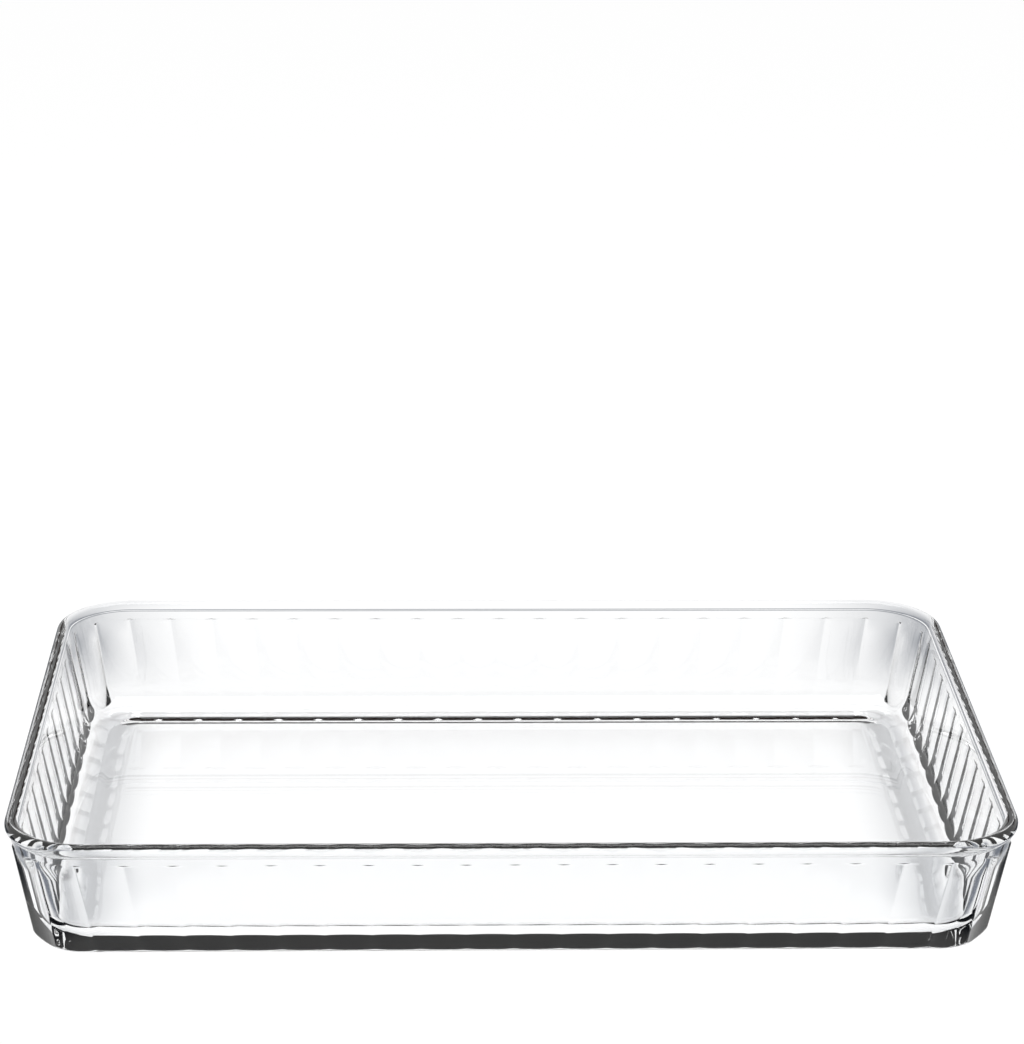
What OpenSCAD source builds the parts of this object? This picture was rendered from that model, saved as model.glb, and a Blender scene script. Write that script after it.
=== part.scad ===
// Fluted glass baking dish: an oblong tray pressed in one piece of clear glass.
// Millimetres, +Z up, length along X, origin at the centre of the plane that it stands on.

/* [Outline at the rim] */
// Length over the rim
dish_length = 400; // [320:1:480]
// Width over the rim
dish_width = 264; // [200:1:320]
// Height from the underside to the top of the rim
dish_height = 52.7; // [48:0.1:75]
// Radius of the rim's four corners, seen from above
corner_radius = 31.4; // [29:0.1:50]

/* [Wall and floor] */
// How far the outside of the wall comes in from the rim to the underside
wall_taper = 10.1; // [6:0.1:12]
// Thickness of the wall over a ridge, measured level
wall_thickness = 5.2; // [4:0.1:6.5]
// Thickness of the floor
floor_thickness = 5.4; // [3.5:0.1:7]
// How high the round inside rises, where the floor turns up into the wall
floor_round_height = 12.1; // [5:0.1:14.5]
// How far that round reaches in over the floor
floor_round_reach = 15; // [5:0.1:16]

/* [Foot] */
// How high the foot's round rises on the outside
foot_height = 5.6; // [4:0.1:12]
// How far the foot's round comes in under the wall
foot_reach = 11.4; // [6:0.1:12]
// Width of the ring that the dish stands on
foot_ring = 3.5; // [3:0.1:6]
// How far the middle of the underside is raised off the table
base_rise = 1.25; // [0.4:0.05:1.5]
// Width of the slope from the ring up to the middle
base_slope = 11; // [6:0.1:12]

/* [Flutes] */
// Width of a flute from ridge to ridge at the top of the flutes
flute_width = 18.9; // [12:0.1:26]
// Radius of the hollow of a flute
flute_radius = 45; // [34:0.5:80]
// How far below the rim's top the ridges between the flutes end
plain_band = 8.9; // [8.1:0.1:20]
// How far a ridge stands out from the plain band above it
ridge_stand = 0.4; // [0.2:0.05:1]
// Height of the slope that ends each ridge
ridge_end = 1; // [0.5:0.1:1.5]
// How far each flute's cut reaches past its ridges to the sides
flute_margin = 1; // [0.5:0.1:2]

/* [Hidden] */
// Angle between the steps that draw a round edge
arc_step = 7.5;
// Smoothness of the true circles
$fn = 96;
// How far a cut runs past what it cuts
overrun = 5;
// The middles of the corners, which all heights of the wall share
middle_x = dish_length / 2 - corner_radius;
middle_y = dish_width / 2 - corner_radius;
// The wall's lean from upright
lean = atan(wall_taper / dish_height);
// Height of the floor's upper face
floor_level = base_rise + floor_thickness;
// The rim is one full round, which takes up the whole thickness of the wall
rim_radius = wall_thickness * cos(lean) / (1 + cos(lean) - sin(lean));
// The height where the ridges end, and the height where the plain band begins
flute_top = dish_height - plain_band;
band_bottom = flute_top + ridge_end;

// Distance from a corner's middle, at height z, to the skin that the ridges touch
function ridge_line(z) = corner_radius - wall_taper * (1 - z / dish_height);

// The same for the plain band under the rim, and for the inside of the wall
function band_line(z) = ridge_line(z) - ridge_stand;
function inner_line(z) = ridge_line(z) - wall_thickness;

// Points of an arc about a middle, from one angle to another
function arc(middle, radius, from, to) =
    let (steps = ceil(abs(to - from) / arc_step))
    [for (i = [0:steps])
        let (angle = from + (to - from) * i / steps)
        middle + radius * [cos(angle), sin(angle)]];

// How far the middle of a round lies inside the leaning wall that the round meets
function round_setback(reach, rise) = norm([reach, rise * tan(lean)]);

// Points of a round from level ground at height z up to the wall, whose line is x_at_middle
// at the height of the round's middle
function edge_round(x_at_middle, z, reach, rise) =
    let (end = atan(tan(lean) * rise / reach), steps = ceil((90 - end) / arc_step))
    [for (i = [0:steps])
        let (angle = -90 + (90 - end) * i / steps)
        [x_at_middle - round_setback(reach, rise) + reach * cos(angle), z + rise + rise * sin(angle)]];

// The reach of the round inside is held back where a small corner leaves it no room
inner_middle = floor_level + floor_round_height;
inner_room = inner_line(inner_middle) - rim_radius;
inner_lean = floor_round_height * tan(lean);
inner_reach = min(floor_round_reach, sqrt(inner_room ^ 2 - inner_lean ^ 2));

// The inner edge of the ring that the dish stands on, and the corner's radius that the raised
// middle has there, which the slope must fit into
ring_edge = ridge_line(foot_height) - round_setback(foot_reach, foot_height) - foot_ring;
slope_room = 1.1;
base_radius = max(ring_edge, slope_room * base_slope);

// The rim's round, from the crease at the plain band over the top to the inside of the wall
rim_middle = [corner_radius - rim_radius, dish_height - rim_radius];
band_gap = (band_line(rim_middle.y) - rim_middle.x) * cos(lean);
crease_angle = -lean - acos(band_gap / rim_radius);
inside_angle = 180 - lean;

// Half sections, measured outwards from the middle of a corner.
// The outside of the foot and the fluted wall
module lower_section() {
    polygon(concat(
        [[0, 0]],
        edge_round(ridge_line(foot_height), 0, foot_reach, foot_height),
        [[ridge_line(flute_top), flute_top]],
        [[band_line(band_bottom), band_bottom]],
        [[0, band_bottom]]
    ));
}

// The outside of the plain band and the rim
module upper_section() {
    polygon(concat(
        [[0, band_bottom]],
        [[band_line(band_bottom), band_bottom]],
        arc(rim_middle, rim_radius, crease_angle, 90),
        [[0, dish_height]]
    ));
}

// The hollow of the dish
module hollow_section() {
    polygon(concat(
        [[0, floor_level]],
        edge_round(inner_line(inner_middle), floor_level, inner_reach, floor_round_height),
        arc(rim_middle, rim_radius, inside_angle, 90),
        [[rim_middle.x, dish_height + overrun]],
        [[0, dish_height + overrun]]
    ));
}

// The raised middle of the underside
module base_section() {
    polygon([
        [0, -overrun],
        [base_radius, -overrun],
        [base_radius, 0],
        [base_radius - base_slope, base_rise],
        [0, base_rise]
    ]);
}

// Carries a half section round the dish: four turned corners, four straight sides and the middle.
// The inset draws the corners' middles in
module carry_round(bottom, top, inset = 0) {
    turn_x = middle_x - inset;
    turn_y = middle_y - inset;
    for (side_x = [0, 1], side_y = [0, 1])
        mirror([side_x, 0, 0])
            mirror([0, side_y, 0])
                translate([turn_x, turn_y, 0])
                    rotate_extrude(angle = 90)
                        children();
    for (side = [0, 1]) {
        mirror([0, side, 0])
            translate([-turn_x, turn_y, 0])
                rotate([90, 0, 90])
                    linear_extrude(height = 2 * turn_x)
                        children();
        mirror([side, 0, 0])
            translate([turn_x, turn_y, 0])
                rotate([90, 0, 0])
                    linear_extrude(height = 2 * turn_y)
                        children();
    }
    translate([-turn_x, -turn_y, bottom])
        cube([2 * turn_x, 2 * turn_y, top - bottom]);
}

// One quarter of the outline, from the middle of a long side to the middle of a short side
function corner_run(z) = ridge_line(z) * PI / 2;
function quarter_run(z) = middle_x + corner_run(z) + middle_y;

// The point at a given run along that quarter, at height z
function outline_point(run, z) =
    run <= middle_x ? [run, middle_y + ridge_line(z), z]
    : run <= middle_x + corner_run(z) ?
        let (turned = 90 * (run - middle_x) / corner_run(z))
        [middle_x + ridge_line(z) * sin(turned), middle_y + ridge_line(z) * cos(turned), z]
    : [middle_x + ridge_line(z), quarter_run(z) - run, z];

// How many flutes a quarter has on its long side, its short side and its corner
long_flutes = round(middle_x / flute_width);
short_flutes = round(middle_y / flute_width);
corner_space = quarter_run(flute_top) - (long_flutes + short_flutes) * flute_width;
corner_flutes = max(1, round(corner_space / flute_width));
quarter_flutes = long_flutes + corner_flutes + short_flutes;

// Where ridge k stands on the quarter at the top of the flutes. The corner shares out what is left
function ridge_run(k) =
    k <= long_flutes ? k * flute_width
    : k >= long_flutes + corner_flutes ?
        quarter_run(flute_top) - (quarter_flutes - k) * flute_width
    : long_flutes * flute_width + (k - long_flutes) * corner_space / corner_flutes;

// Ridge k at height z. The ridges draw together towards the foot, as the outline does
function ridge_point(k, z) =
    outline_point(ridge_run(k) * quarter_run(z) / quarter_run(flute_top), z);

// The deepest point of flute k at height z: a circle through both ridges gives the depth
function half_chord(k, z) = norm(ridge_point(k + 1, z) - ridge_point(k, z)) / 2;
function flute_depth(k, z) = flute_radius - sqrt(flute_radius ^ 2 - half_chord(k, z) ^ 2);
function along_flute(k, z) =
    (ridge_point(k + 1, z) - ridge_point(k, z)) / (2 * half_chord(k, z));
function flute_bottom(k, z) =
    let (along = along_flute(k, z), outward = [-along.y, along.x, 0])
    (ridge_point(k, z) + ridge_point(k + 1, z)) / 2 - outward * flute_depth(k, z) / cos(lean);

// The cutter for flute k: a slice of a cylinder laid along the flute's deepest line
module flute_cutter(k) {
    foot = flute_bottom(k, 0);
    head = flute_bottom(k, flute_top);
    upward = (head - foot) / norm(head - foot);
    sideways = along_flute(k, 0) + along_flute(k, flute_top);
    outward = cross(upward, sideways) / norm(cross(upward, sideways));
    across = cross(outward, upward);
    half_width = half_chord(k, flute_top) + flute_margin;
    start = foot - upward * overrun;
    multmatrix([
        [across.x, outward.x, upward.x, start.x],
        [across.y, outward.y, upward.y, start.y],
        [across.z, outward.z, upward.z, start.z]
    ])
        linear_extrude(height = band_bottom / cos(lean) + 2 * overrun)
            intersection() {
                translate([0, flute_radius])
                    circle(r = flute_radius);
                translate([-half_width, 0])
                    square([2 * half_width, flute_width / 2]);
            }
}

module all_flutes() {
    for (side_x = [0, 1], side_y = [0, 1], k = [0:quarter_flutes - 1])
        mirror([side_x, 0, 0])
            mirror([0, side_y, 0])
                flute_cutter(k);
}

module dish() {
    color("LightCyan", 0.45)
        difference() {
            union() {
                difference() {
                    carry_round(0, band_bottom)
                        lower_section();
                    all_flutes();
                }
                carry_round(band_bottom, dish_height)
                    upper_section();
            }
            carry_round(floor_level, dish_height + overrun)
                hollow_section();
            carry_round(-overrun, base_rise, base_radius - ring_edge)
                base_section();
        }
}

dish();
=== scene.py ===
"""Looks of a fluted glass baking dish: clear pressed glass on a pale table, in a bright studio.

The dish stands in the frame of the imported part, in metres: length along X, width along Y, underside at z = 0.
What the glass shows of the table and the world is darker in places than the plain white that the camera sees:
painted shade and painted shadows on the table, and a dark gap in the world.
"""

import logging
import math
from dataclasses import dataclass, field
from enum import Enum
from typing import Any

import bpy
import numpy as np
from mathutils import Matrix, Vector

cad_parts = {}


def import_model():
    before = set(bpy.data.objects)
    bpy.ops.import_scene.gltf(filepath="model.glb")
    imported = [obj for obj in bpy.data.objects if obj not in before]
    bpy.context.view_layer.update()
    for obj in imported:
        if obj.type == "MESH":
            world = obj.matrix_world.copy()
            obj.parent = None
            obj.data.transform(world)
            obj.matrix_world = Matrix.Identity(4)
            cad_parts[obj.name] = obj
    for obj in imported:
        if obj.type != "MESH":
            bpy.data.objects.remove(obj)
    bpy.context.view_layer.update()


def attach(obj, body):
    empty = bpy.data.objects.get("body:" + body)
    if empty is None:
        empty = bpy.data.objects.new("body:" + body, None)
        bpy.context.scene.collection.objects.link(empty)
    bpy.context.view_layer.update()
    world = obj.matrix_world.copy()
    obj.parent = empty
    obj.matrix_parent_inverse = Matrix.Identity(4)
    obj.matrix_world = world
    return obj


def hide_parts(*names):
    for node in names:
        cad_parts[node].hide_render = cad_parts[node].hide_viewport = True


LOG = logging.getLogger("baking_dish")
MM = 0.001

Colour = tuple[float, float, float]
Point = tuple[float, float, float]
Pair = tuple[float, float]
Edge = tuple[float, float]


# --------------------------------------------------------------------------- shader maths


class Wire:
    """A shader socket that can be used in Python sums."""

    def __init__(self, tree: bpy.types.NodeTree, socket: bpy.types.NodeSocket) -> None:
        """Keep the node tree and the output socket that carries the value."""
        self.tree = tree
        self.socket = socket

    def _math(self, operation: str, *values: Any, clamp: bool = False) -> "Wire":
        """Add a Math node.

        Args:
            operation: The Math node's operation.
            *values: Wires or numbers for its inputs, in order.
            clamp: Whether the result is held between 0 and 1.

        Returns:
            The node's result.
        """
        node = self.tree.nodes.new("ShaderNodeMath")
        node.operation = operation
        node.use_clamp = clamp
        for slot, value in zip(node.inputs, values):
            feed(self.tree, slot, value)
        return Wire(self.tree, node.outputs[0])

    def __add__(self, other: Any) -> "Wire":
        """Return self + other."""
        return self._math("ADD", self, other)

    def __radd__(self, other: Any) -> "Wire":
        """Return other + self."""
        return self._math("ADD", other, self)

    def __sub__(self, other: Any) -> "Wire":
        """Return self - other."""
        return self._math("SUBTRACT", self, other)

    def __rsub__(self, other: Any) -> "Wire":
        """Return other - self."""
        return self._math("SUBTRACT", other, self)

    def __mul__(self, other: Any) -> "Wire":
        """Return self * other."""
        return self._math("MULTIPLY", self, other)

    def __rmul__(self, other: Any) -> "Wire":
        """Return other * self."""
        return self._math("MULTIPLY", other, self)

    def either(self, other: Any) -> "Wire":
        """Return the larger of self and other."""
        return self._math("MAXIMUM", self, other)

    def size(self) -> "Wire":
        """Return self without its sign."""
        return self._math("ABSOLUTE", self)

    def arcsine(self) -> "Wire":
        """Return the angle, in radians, whose sine is self."""
        return self._math("ARCSINE", self)

    def bearing(self, ahead: "Wire") -> "Wire":
        """Return the angle, in radians, of the direction that has self across and ahead along."""
        return self._math("ARCTAN2", self, ahead)

    def step(self, low: float, high: float) -> "Wire":
        """Return 0 below low and 1 above high, with a smooth rise between."""
        part = self._math("DIVIDE", self - low, high - low, clamp=True)
        return part * part * (3.0 - 2.0 * part)


def feed(tree: bpy.types.NodeTree, slot: bpy.types.NodeSocket, value: Any) -> None:
    """Link a wire to an input socket, or set the socket's own value.

    Args:
        tree: The node tree that holds the socket.
        slot: The input socket.
        value: A wire, or a value the socket takes.
    """
    if isinstance(value, Wire):
        tree.links.new(value.socket, slot)
    else:
        slot.default_value = value


def add_node(tree: bpy.types.NodeTree, kind: str, settings: dict[str, Any] | None = None,
             inputs: dict[str | int, Any] | None = None) -> bpy.types.Node:
    """Add one node of any type.

    Args:
        tree: The node tree.
        kind: The node's type name.
        settings: Properties of the node, set before its sockets.
        inputs: Values or wires by socket name or number.

    Returns:
        The new node.
    """
    node = tree.nodes.new(kind)
    for name, value in (settings or {}).items():
        setattr(node, name, value)
    for name, value in (inputs or {}).items():
        feed(tree, node.inputs[name], value)
    return node


def output(tree: bpy.types.NodeTree, node: bpy.types.Node, name: str | int = 0) -> Wire:
    """Return one output of a node as a wire."""
    return Wire(tree, node.outputs[name])


def mix_colours(tree: bpy.types.NodeTree, share: Wire, low: Colour, high: Colour) -> Wire:
    """Mix two colours.

    Args:
        tree: The node tree.
        share: How much of the second colour is taken, from 0 to 1.
        low: The colour at 0.
        high: The colour at 1.

    Returns:
        The mixed colour.
    """
    node = add_node(tree, "ShaderNodeMix", {"data_type": "RGBA"}, {
        0: share, 6: (*low, 1.0), 7: (*high, 1.0)})
    return output(tree, node, 2)


class Coordinates(Enum):
    """The texture coordinates that the studio's materials go by."""

    PLACE = "Object"
    DIRECTION = "Generated"


def place(tree: bpy.types.NodeTree, kind: Coordinates) -> tuple[Wire, Wire, Wire]:
    """Read a texture coordinate.

    Args:
        tree: The node tree.
        kind: Places on an object, or directions in the world.

    Returns:
        The coordinate's three parts.
    """
    coords = add_node(tree, "ShaderNodeTexCoord")
    split = add_node(tree, "ShaderNodeSeparateXYZ", {}, {0: output(tree, coords, kind.value)})
    return output(tree, split, 0), output(tree, split, 1), output(tree, split, 2)


# --------------------------------------------------------------------------- the dish


@dataclass(frozen=True)
class DishSizes:
    """The dish's sizes in millimetres, the same as in the part's source.

    The slope's room is the least radius of a corner at the foot of the slope, in widths of the slope.
    """

    length: float = 400.0
    width: float = 264.0
    height: float = 52.7
    corner_radius: float = 31.4
    taper: float = 10.1
    wall: float = 5.2
    floor_thickness: float = 5.4
    floor_round_height: float = 12.1
    floor_round_reach: float = 15.0
    foot_height: float = 5.6
    foot_reach: float = 11.4
    foot_ring: float = 3.5
    base_rise: float = 1.25
    base_slope: float = 11.0
    slope_room: float = 1.1
    flute_width: float = 18.9
    flute_radius: float = 45.0
    plain_band: float = 8.9

    @property
    def middle(self) -> tuple[float, float]:
        """The middle of the corner at +X +Y, seen from above."""
        return self.length / 2 - self.corner_radius, self.width / 2 - self.corner_radius

    @property
    def lean(self) -> float:
        """The wall's lean from upright, in radians."""
        return math.atan(self.taper / self.height)

    @property
    def rim_radius(self) -> float:
        """The radius of the rim's full round."""
        c, s = math.cos(self.lean), math.sin(self.lean)
        return self.wall * c / (1 + c - s)

    @property
    def floor(self) -> float:
        """The height of the floor's upper face."""
        return self.base_rise + self.floor_thickness

    @property
    def foot_middle(self) -> float:
        """Distance from a corner's middle to where the foot's round starts."""
        setback = math.hypot(self.foot_reach, self.foot_height * math.tan(self.lean))
        return self.ridge_line(self.foot_height) - setback

    @property
    def flute_top(self) -> float:
        """The height where the ridges end."""
        return self.height - self.plain_band

    def ridge_line(self, z: float) -> float:
        """Distance from a corner's middle to the skin that the ridges touch, at height z."""
        return self.corner_radius - self.taper * (1 - z / self.height)


def smooth_step(value: float, low: float, high: float) -> float:
    """Return 0 below low and 1 above high, with a smooth rise between."""
    part = min(max((value - low) / (high - low), 0.0), 1.0)
    return part * part * (3 - 2 * part)


def soft_larger(a: Any, b: Any, blend: float) -> Any:
    """Return the larger of a and b, rounded where they are within blend of each other."""
    gap = np.maximum(blend - np.abs(a - b), 0.0)
    return np.maximum(a, b) + gap * gap / (4 * blend)


@dataclass
class GlassSkin:
    """The whole surface of the dish, as rings of points from the underside over the rim to the floor.

    Lengths are in millimetres. The ridges end in a steeper and slightly deeper step than in the part's
    source, because the glass shows the end of each ridge as a dark dash.

    Attributes:
        sizes: The dish's sizes.
        stations: Where a ring has points from a ridge to the middle of a flute, as shares of that way.
        ridge_softness: How far the crest of a ridge is rounded off.
        band_depth: How far the plain band lies inside the line of the ridges.
        end_height: Height of the slope that ends a ridge.
        foot_blend: Width of the soft edge between the flutes and the foot's round.
        crease_blend: Width of the soft edge between the plain band and the rim.
        run_out: Height over which a flute's hollow ends under the plain band.
        edge_inset: How far inside a flat face's edge its last ring lies, under and on the floor.
        depth_passes: How often the depth of a flute is worked out again, each time from the last.
        slope_ring_count: Rings of the slope to the raised middle.
        foot_ring_count: Rings of the foot's round.
        wall_ring_counts: Rings of the wall below the run-out, over it, and over the ridge ends.
        band_ring_count: Rings of the plain band.
        rim_ring_count: Rings of the rim's round.
        inside_ring_count: Rings of the inside of the wall.
        floor_ring_count: Rings of the round down to the floor.
    """

    sizes: DishSizes = field(default_factory=DishSizes)
    stations: tuple[float, ...] = (0.0, 0.037, 0.116, 0.212, 0.38, 0.656)
    ridge_softness: float = 0.05
    band_depth: float = 0.52
    end_height: float = 0.24
    foot_blend: float = 0.5
    crease_blend: float = 0.5
    run_out: float = 9.0
    edge_inset: Pair = (0.5, 0.6)
    depth_passes: int = 4
    slope_ring_count: int = 17
    foot_ring_count: int = 21
    wall_ring_counts: tuple[int, int, int] = (7, 11, 7)
    band_ring_count: int = 17
    rim_ring_count: int = 25
    inside_ring_count: int = 5
    floor_ring_count: int = 15

    def __post_init__(self) -> None:
        """Share the flutes out over one quarter of the outline."""
        s = self.sizes
        mx, my = s.middle
        top = self.quarter(s.ridge_line(s.flute_top))
        long_side, short_side = round(mx / s.flute_width), round(my / s.flute_width)
        space = top - (long_side + short_side) * s.flute_width
        corner = max(1, round(space / s.flute_width))
        runs = [k * s.flute_width for k in range(long_side + 1)]
        runs += [long_side * s.flute_width + k * space / corner for k in range(1, corner + 1)]
        runs += [top - k * s.flute_width for k in range(short_side - 1, -1, -1)]
        self.ridges = np.array(runs) / top
        half = np.array(self.stations)
        spread = np.concatenate([half - 1, [0.0], 1 - half[:0:-1]])
        low, high = self.ridges[:-1, None], self.ridges[1:, None]
        share = (low + high) / 2 + spread[None, :] * (high - low) / 2
        self.shares = np.append(share.ravel(), 1.0)
        self.flute_of = np.append(np.repeat(np.arange(len(runs) - 1), len(spread)), len(runs) - 2)

    @property
    def band_start(self) -> float:
        """The height where the plain band starts."""
        return self.sizes.flute_top + self.end_height

    def quarter(self, x: float) -> float:
        """Length of a quarter outline whose corner has radius x."""
        mx, my = self.sizes.middle
        return mx + my + x * math.pi / 2

    def outline(self, shares: np.ndarray, x: float, inset: float = 0.0) -> tuple[np.ndarray, np.ndarray]:
        """Find points on a quarter outline, from the middle of a long side to that of a short side.

        Args:
            shares: Shares of the quarter's length, from 0 to 1.
            x: Radius of the outline's corner.
            inset: How far the corner's middle is drawn in.

        Returns:
            The points and their outward directions, two columns each.
        """
        mx, my = (size - inset for size in self.sizes.middle)
        arc = x * math.pi / 2
        run = shares * (mx + my + arc)
        turned = np.clip((run - mx) / arc, 0.0, 1.0) * math.pi / 2
        outward = np.column_stack([np.sin(turned), np.cos(turned)])
        past = np.maximum(run - mx - arc, 0.0)
        base = np.column_stack([np.minimum(run, mx), np.full(len(run), my)])
        base[:, 1] -= past
        return base + outward * x, outward

    def flute_depth(self, z: float) -> np.ndarray:
        """Work out how far the flutes lie inside the line of the ridges.

        Args:
            z: The height.

        Returns:
            The depth at each point of a quarter ring.
        """
        s = self.sizes
        x = s.ridge_line(z)
        ridge, _ = self.outline(self.ridges, x)
        point, outward = self.outline(self.shares, x)
        a, b = ridge[self.flute_of], ridge[self.flute_of + 1]
        half = np.linalg.norm(b - a, axis=1) / 2
        along = (b - a) / (2 * half)[:, None]
        across = np.column_stack([-along[:, 1], along[:, 0]])
        rel = point - (a + b) / 2
        pt, pn = (rel * along).sum(1), (rel * across).sum(1)
        ot, on = (outward * along).sum(1), (outward * across).sum(1)
        depth = np.zeros(len(point))
        r = s.flute_radius
        for _ in range(self.depth_passes):
            at = np.clip(pt - depth * ot, -half, half)
            depth = (pn + np.sqrt(r * r - at * at) - np.sqrt(r * r - half * half)) / on
        depth = np.maximum(depth, 0.0)
        soft = self.ridge_softness
        return np.sqrt(depth * depth + soft * soft) - soft

    def outer_depth(self, z: float) -> np.ndarray:
        """Work out the depth of the outside, with the ridges ended under the plain band.

        Args:
            z: The height.

        Returns:
            The depth inside the line of the ridges, at each point of a quarter ring.
        """
        s = self.sizes
        band = self.band_depth
        depth = self.flute_depth(z) - band
        cut = max(z - s.flute_top, 0.0) * band / self.end_height
        hollows = 1 - smooth_step(z, self.band_start - self.run_out, self.band_start)
        return band + np.minimum(np.minimum(depth, 0) + cut, 0) + hollows * np.maximum(depth, 0)

    def full_ring(self, quarter: np.ndarray, z: float) -> np.ndarray:
        """Carry a quarter's points round the whole dish.

        Args:
            quarter: The points from above, in two columns.
            z: The ring's height.

        Returns:
            The ring's points, in three columns.
        """
        q = quarter[:-1]
        back = quarter[:0:-1]
        ring = np.vstack([q, back * [1, -1], q * [-1, -1], back * [-1, 1]])
        return np.column_stack([ring, np.full(len(ring), z)])

    def plain_ring(self, x: float, z: float, inset: float = 0.0) -> np.ndarray:
        """A smooth ring at height z, whose corners have radius x about a middle drawn in by inset."""
        return self.full_ring(self.outline(self.shares, x, inset)[0], z)

    def fluted_ring(self, z: float, inset: float = 0.0) -> np.ndarray:
        """Make a ring of the fluted outside.

        Args:
            z: The ring's height.
            inset: The least distance inside the line of the ridges.

        Returns:
            The ring's points.
        """
        point, outward = self.outline(self.shares, self.sizes.ridge_line(z))
        depth = self.outer_depth(z)
        if inset > 0:
            depth = soft_larger(depth, inset, self.foot_blend)
        return self.full_ring(point - outward * depth[:, None], z)

    def base_rings(self) -> list[np.ndarray]:
        """Make the raised middle of the underside and the slope down to the ring that the dish stands on.

        Returns:
            The rings, from the inside out.
        """
        s = self.sizes
        edge = s.foot_middle - s.foot_ring
        corner = max(edge, s.slope_room * s.base_slope)
        rings = []
        for part in np.linspace(0, 1, self.slope_ring_count):
            height = s.base_rise * (1 - smooth_step(part, 0, 1))
            rings.append(self.plain_ring(corner - s.base_slope * (1 - part), height, corner - edge))
        return rings

    def foot_rings(self) -> list[np.ndarray]:
        """Make the ring that the dish stands on and the foot's round.

        Returns:
            The rings, from the inside out.
        """
        s = self.sizes
        reach, rise, middle = s.foot_reach, s.foot_height, s.foot_middle
        slant = math.atan(math.tan(s.lean) * rise / reach)
        inner = middle - s.foot_ring + self.edge_inset[0]
        rings = [self.plain_ring(inner, 0.0), self.plain_ring(middle, 0.0)]
        for angle in np.linspace(-math.pi / 2, -slant, self.foot_ring_count)[1:]:
            z = rise + rise * math.sin(angle)
            rings.append(self.fluted_ring(z, s.ridge_line(z) - middle - reach * math.cos(angle)))
        return rings

    def wall_rings(self) -> list[np.ndarray]:
        """Make the fluted wall, up to the plain band.

        Returns:
            The rings, from the bottom up.
        """
        s = self.sizes
        slant = math.atan(math.tan(s.lean) * s.foot_height / s.foot_reach)
        start = s.foot_height * (1 - math.sin(slant))
        top, end = s.flute_top, self.band_start
        low, run_out, ends = self.wall_ring_counts
        heights = [*np.linspace(start, end - self.run_out, low)[1:],
                   *np.linspace(end - self.run_out, top, run_out)[1:],
                   *np.linspace(top, end, ends)[1:]]
        return [self.fluted_ring(z) for z in heights]

    def rim_rings(self) -> list[np.ndarray]:
        """Make the plain band and the full round of the rim.

        Returns:
            The rings, from the outside over the top.
        """
        s = self.sizes
        r = s.rim_radius
        mx, mz = s.corner_radius - r, s.height - r
        rings = []
        for z in np.linspace(self.band_start, mz, self.band_ring_count)[1:-1]:
            band = s.ridge_line(z) - self.band_depth
            round_ = mx + math.sqrt(max(r * r - (z - mz) ** 2, 0.0)) if z > mz - r else mx
            rings.append(self.plain_ring(float(soft_larger(band, round_, self.crease_blend)), z))
        for angle in np.linspace(0, math.pi - s.lean, self.rim_ring_count):
            rings.append(self.plain_ring(mx + r * math.cos(angle), mz + r * math.sin(angle)))
        return rings

    def inside_rings(self) -> list[np.ndarray]:
        """Make the inside of the wall and the round down to the floor.

        Returns:
            The rings, from the top down.
        """
        s = self.sizes
        reach, rise = s.floor_round_reach, s.floor_round_height
        z = s.floor + rise
        middle = s.ridge_line(z) - s.wall - math.hypot(reach, rise * math.tan(s.lean))
        slant = math.atan(math.tan(s.lean) * rise / reach)
        top_z = s.height - s.rim_radius + s.rim_radius * math.sin(s.lean)
        low_z = z - rise * math.sin(slant)
        heights = np.linspace(top_z, low_z, self.inside_ring_count)[1:-1]
        rings = [self.plain_ring(s.ridge_line(height) - s.wall, height) for height in heights]
        for angle in np.linspace(-slant, -math.pi / 2, self.floor_ring_count):
            rings.append(self.plain_ring(middle + reach * math.cos(angle), z + rise * math.sin(angle)))
        rings.append(self.plain_ring(middle - self.edge_inset[1], s.floor))
        return rings

    def build(self, name: str) -> bpy.types.Object:
        """Make the closed mesh.

        Args:
            name: The object's name.

        Returns:
            The new object.
        """
        rings = [*self.base_rings(), *self.foot_rings(), *self.wall_rings(), *self.rim_rings(),
                 *self.inside_rings()]
        count = len(rings[0])
        index = np.arange(len(rings) * count).reshape(len(rings), count)
        after = np.roll(index, -1, axis=1)
        quads = np.stack([index[:-1], index[1:], after[1:], after[:-1]], axis=-1).reshape(-1, 4)
        faces = quads.tolist() + [index[0].tolist(), index[-1][::-1].tolist()]
        mesh = bpy.data.meshes.new(name)
        mesh.from_pydata((np.vstack(rings) * MM).tolist(), [], faces)
        mesh.validate()
        mesh.polygons.foreach_set("use_smooth", [True] * len(mesh.polygons))
        mesh.update()
        dish = bpy.data.objects.new(name, mesh)
        bpy.context.scene.collection.objects.link(dish)
        return dish


@dataclass(frozen=True)
class ClearGlass:
    """Clear pressed glass, fire polished, that lets the lamps through to the table."""

    tint: Colour = (0.985, 0.99, 0.995)
    ior: float = 1.5
    shade: Colour = (0.985, 0.99, 0.99)

    def make(self, name: str) -> bpy.types.Material:
        """Build the material.

        Args:
            name: The material's name.

        Returns:
            The new material.
        """
        material = bpy.data.materials.new(name)
        material.use_nodes = True
        tree = material.node_tree
        tree.nodes.clear()
        glass = add_node(tree, "ShaderNodeBsdfPrincipled", {}, {
            "Base Color": (*self.tint, 1.0), "Roughness": 0.0, "IOR": self.ior, "Transmission Weight": 1.0})
        clear = add_node(tree, "ShaderNodeBsdfTransparent", {}, {"Color": (*self.shade, 1.0)})
        path = add_node(tree, "ShaderNodeLightPath")
        mix = add_node(tree, "ShaderNodeMixShader", {}, {
            0: output(tree, path, "Is Shadow Ray"), 1: output(tree, glass), 2: output(tree, clear)})
        add_node(tree, "ShaderNodeOutputMaterial", {}, {"Surface": output(tree, mix)})
        return material


# --------------------------------------------------------------------------- the studio


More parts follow.
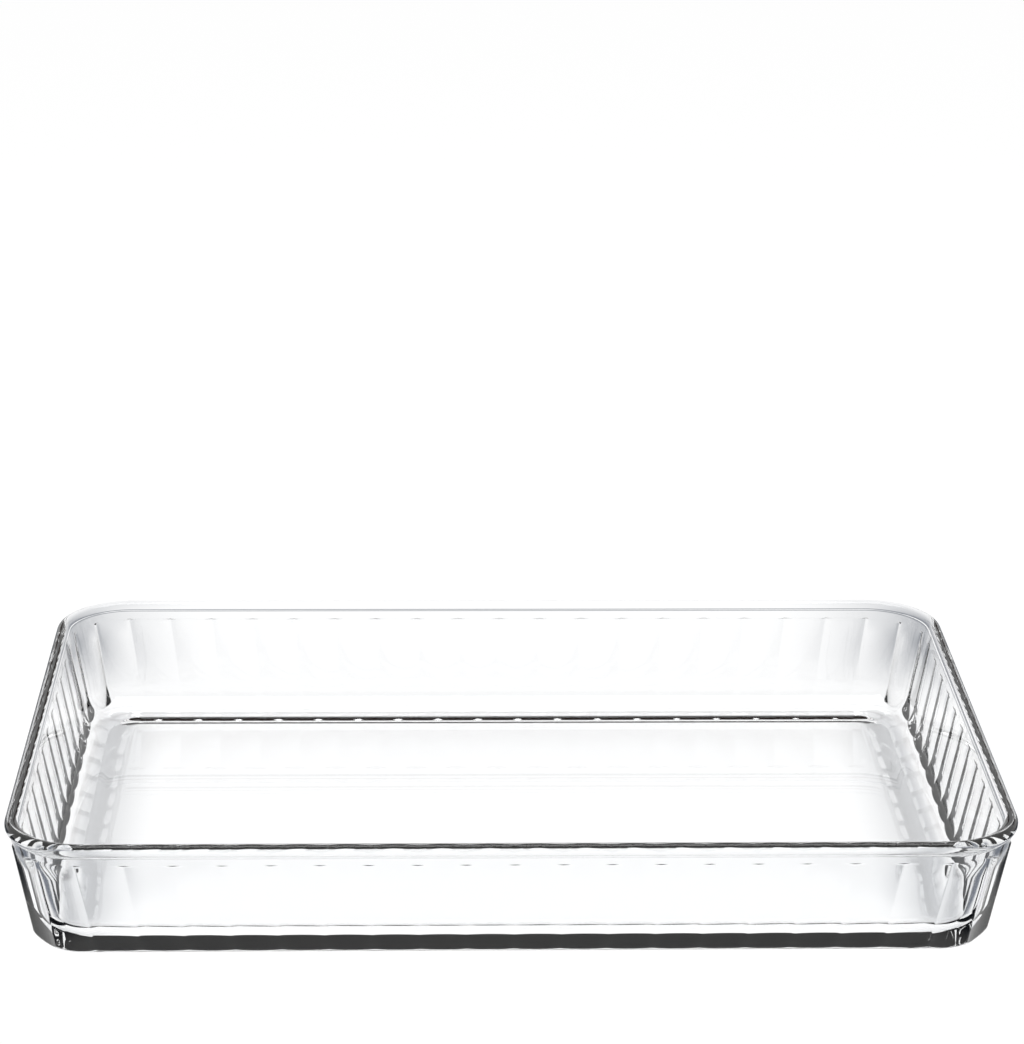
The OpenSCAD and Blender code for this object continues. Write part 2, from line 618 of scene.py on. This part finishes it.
@dataclass(frozen=True)
class Stripe:
    """A soft band across the table or up the sky.

    Attributes:
        rise: Where the band's near edge starts and ends.
        fall: Where its far edge starts and ends.
        depth: How much light it takes away.
    """

    rise: Edge
    fall: Edge
    depth: float = 1.0

    def cover(self, along: Wire) -> Wire:
        """Return 1 in the band and 0 outside it, at a place along the way across it."""
        return along.step(*self.rise) - along.step(*self.fall)


@dataclass(frozen=True)
class PaintedTableLight:
    """What the glass shows of the table, all painted light and shade: a painted pool of white light, painted
    dark next to it, with a painted shadow of the dish on it.

    Places are in metres from the middle of the dish, and each edge is where a soft edge starts and ends.

    Attributes:
        side: The sheet's edge at the sides.
        far_side: The same behind the dish, where it is softer.
        far: Where the softer edge takes over.
        far_spread: How much the sheet widens with the distance behind that.
        corner: Where the sheet's front corners start to be cut off.
        corner_slant: How steeply they are cut off.
        outer: Where the painted dark at the sides ends.
        shadow: A painted shadow of the dish under its short sides.
        shadow_end: Where that shadow ends along the short sides.
        front: The painted dim band of shade in front of the dish.
        back: The painted dark band of shade behind the sheet.
    """

    side: Edge = (0.225, 0.25)
    far_side: Edge = (0.13, 0.28)
    far: Edge = (0.11, 0.2)
    far_spread: float = 0.16
    corner: float = -0.09
    corner_slant: float = 1.5
    outer: Edge = (0.45, 0.6)
    # A painted shadow of the dish on the table, under its short sides.
    shadow: Stripe = Stripe((0.148, 0.178), (0.178, 0.191), 0.42)
    shadow_end: Edge = (0.1, 0.12)
    # Painted shade: a dim band in front of the dish and a dark band far behind it.
    front: Stripe = Stripe((-0.28, -0.22), (-0.19, -0.15), 0.65)
    back: Stripe = Stripe((0.48, 0.52), (0.95, 1.05), 0.85)

    def glow(self, tree: bpy.types.NodeTree) -> Wire:
        """Work out the painted light and shade at each place of the table.

        Args:
            tree: The node tree of the table's material.

        Returns:
            The brightness, from 0 to 1.
        """
        x, y, _ = place(tree, Coordinates.PLACE)
        across = x.size()
        cut = (self.corner - y).either(0.0) * self.corner_slant
        spread = (y - self.far[1]).either(0.0) * self.far_spread
        # The painted pool of light: bright on the sheet, painted dark at its sides and behind it.
        near = 1.0 - (across + cut).step(*self.side)
        far = 1.0 - (across - spread).step(*self.far_side)
        behind = y.step(*self.far)
        sheet = near * (1.0 - behind) + far * behind
        # Painted shadow: a soft dark stripe under each short side of the dish.
        shadow = self.shadow.cover(across) * (1.0 - y.size().step(*self.shadow_end))
        # The painted shadow and the painted shade bands take light off the painted pool of light.
        lit = (sheet * (1.0 - self.shadow.depth * shadow)
               * (1.0 - self.front.depth * self.front.cover(y))
               * (1.0 - self.back.depth * self.back.cover(y)))
        # Plain white again in front of the painted dim band and beyond the painted dark at the sides.
        return lit.either(1.0 - y.step(*self.front.rise)).either(across.step(*self.outer))


@dataclass
class Studio:
    """The pale table, the world round it and the lamp over it.

    The camera sees a plain white table and world. The glass sees the dark parts too, which the camera
    doesn't: painted shade and painted shadows on the table, and a dark gap in the world. Most of its dark
    lines come from them. They were fitted to the photograph.

    Attributes:
        table_size: Side of the square table, in metres.
        table_drop: How far the table lies below the dish, in metres.
        table_colour: The table's own colour.
        table_shown: How much of the table's look glows by itself where the camera or the glass sees it.
        white: The colour of what is lit.
        sheet: The painted light and shade that the glass shows on the table.
        painted_shade: The colour of the table's painted dark parts and painted shadows.
        gap: The dark gap in the white room, in degrees above the horizon.
        gap_side: Where the gap ends, in degrees from straight behind the dish.
        gap_colour: The colour of the gap.
        lamp_size: Length and width of the lamp, in metres.
        lamp_place: The middle of the lamp.
        lamp_power: The lamp's power, in watts.
    """

    table_size: float = 40.0
    table_drop: float = 0.0002
    table_colour: Colour = (0.9, 0.9, 0.9)
    table_shown: float = 0.85
    white: Colour = (1.0, 1.0, 1.0)
    sheet: PaintedTableLight = field(default_factory=PaintedTableLight)
    # Painted shade: the colour of the table's painted dark parts and painted shadows, seen only by the glass.
    painted_shade: Colour = (0.0, 0.02, 0.06)
    gap: Stripe = Stripe((14.0, 16.5), (18.5, 22.5))
    gap_side: Edge = (40.0, 50.0)
    gap_colour: Colour = (0.13, 0.09, 0.08)
    lamp_size: Pair = (1.2, 0.8)
    lamp_place: Point = (0.0, 0.1, 1.4)
    lamp_power: float = 8.0

    def table_top(self) -> bpy.types.Material:
        """Make the table's material.

        The camera sees it plain white, and the glass sees painted light and shade: the painted pool of light
        with its painted dark parts and painted shadows.

        Returns:
            The new material.
        """
        material = bpy.data.materials.new("table_top")
        material.use_nodes = True
        tree = material.node_tree
        tree.nodes.clear()
        path = add_node(tree, "ShaderNodeLightPath")
        camera = output(tree, path, "Is Camera Ray")
        # Painted light and shade on the table, for the glass only; the camera sees plain white.
        bright = self.sheet.glow(tree).either(camera)
        pale = add_node(tree, "ShaderNodeBsdfDiffuse", {}, {"Color": (*self.table_colour, 1.0)})
        # The table glows with the painted light and shade, though it is no lamp.
        white = add_node(tree, "ShaderNodeEmission", {}, {
            "Color": mix_colours(tree, bright, self.painted_shade, self.white), "Strength": 1.0})
        seen = camera.either(output(tree, path, "Is Glossy Ray")).either(
            output(tree, path, "Is Transmission Ray"))
        mix = add_node(tree, "ShaderNodeMixShader", {}, {
            0: seen * self.table_shown, 1: output(tree, pale), 2: output(tree, white)})
        add_node(tree, "ShaderNodeOutputMaterial", {}, {"Surface": output(tree, mix)})
        return material

    def table(self) -> bpy.types.Object:
        """Lay the table just under the dish.

        Returns:
            The table.
        """
        half = self.table_size / 2
        mesh = bpy.data.meshes.new("table")
        corners = [(-half, -half, 0), (half, -half, 0), (half, half, 0), (-half, half, 0)]
        mesh.from_pydata(corners, [], [(0, 1, 2, 3)])
        table = bpy.data.objects.new("table", mesh)
        table.location.z = -self.table_drop
        bpy.context.scene.collection.objects.link(table)
        mesh.materials.append(self.table_top())
        return table

    def world(self) -> None:
        """Light the room: white all round, with a dark gap low down behind the dish.

        The camera doesn't see the gap.
        """
        world = bpy.data.worlds.new("studio")
        bpy.context.scene.world = world
        world.use_nodes = True
        tree = world.node_tree
        tree.nodes.clear()
        x, y, z = place(tree, Coordinates.DIRECTION)
        height = z.arcsine() * math.degrees(1.0)
        turned = x.bearing(y).size() * math.degrees(1.0)
        gap = self.gap.cover(height) * (1.0 - turned.step(*self.gap_side))
        path = add_node(tree, "ShaderNodeLightPath")
        bright = (1.0 - gap).either(output(tree, path, "Is Camera Ray"))
        background = add_node(tree, "ShaderNodeBackground", {}, {
            "Color": mix_colours(tree, bright, self.gap_colour, self.white), "Strength": 1.0})
        add_node(tree, "ShaderNodeOutputWorld", {}, {"Surface": output(tree, background)})

    def lamp(self) -> None:
        """Hang one wide soft lamp over the table."""
        light = bpy.data.lights.new("overhead", "AREA")
        light.shape = "RECTANGLE"
        light.size, light.size_y = self.lamp_size
        light.energy = self.lamp_power
        lamp = bpy.data.objects.new("overhead", light)
        lamp.location = self.lamp_place
        bpy.context.scene.collection.objects.link(lamp)

    def build(self) -> None:
        """Set up the table, the world and the lamp."""
        self.table()
        self.world()
        self.lamp()


@dataclass(frozen=True)
class Viewpoint:
    """The camera, placed as the photograph shows the dish.

    Attributes:
        position: Where the camera stands, in metres.
        pitch: How far it looks down, in degrees.
        yaw: How far it is turned to the right, in degrees.
        roll: How far it is tipped sideways, in degrees.
        focal_pixels: Its focal length in pixels of the photograph's frame.
        frame_pixels: The longer side of that frame.
        sensor: Width of its sensor in millimetres.
    """

    position: Point = (-0.0389, -1.2745, 0.5996)
    pitch: float = 19.899
    yaw: float = 1.816
    roll: float = 0.590
    focal_pixels: float = 3269.9
    frame_pixels: float = 1044.0
    sensor: float = 36.0

    def build(self) -> bpy.types.Object:
        """Create the camera and make it the scene's own.

        Returns:
            The camera.
        """
        pitch, yaw, roll = (math.radians(a) for a in (self.pitch, self.yaw, self.roll))
        ahead = Vector((math.sin(yaw) * math.cos(pitch), math.cos(yaw) * math.cos(pitch), -math.sin(pitch)))
        right = Vector((math.cos(yaw), -math.sin(yaw), 0.0))
        up = right.cross(ahead)
        side = right * math.cos(roll) + up * math.sin(roll)
        top = up * math.cos(roll) - right * math.sin(roll)
        data = bpy.data.cameras.new("camera")
        data.sensor_width = self.sensor
        data.lens = self.focal_pixels * self.sensor / self.frame_pixels
        camera = bpy.data.objects.new("camera", data)
        turn = Matrix((side, top, -ahead)).transposed().to_4x4()
        camera.matrix_world = Matrix.Translation(self.position) @ turn
        bpy.context.scene.collection.objects.link(camera)
        bpy.context.scene.camera = camera
        return camera


def main() -> None:
    """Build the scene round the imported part."""
    logging.basicConfig(level=logging.INFO)
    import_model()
    bpy.context.scene.view_settings.view_transform = "Standard"

    dish = GlassSkin().build("dish_glass")
    dish.data.materials.append(ClearGlass().make("clear_glass"))
    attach(dish, "root")
    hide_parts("dish")
    LOG.info("dish_glass: %d faces", len(dish.data.polygons))

    Studio().build()
    Viewpoint().build()


if __name__ == "__main__":
    main()
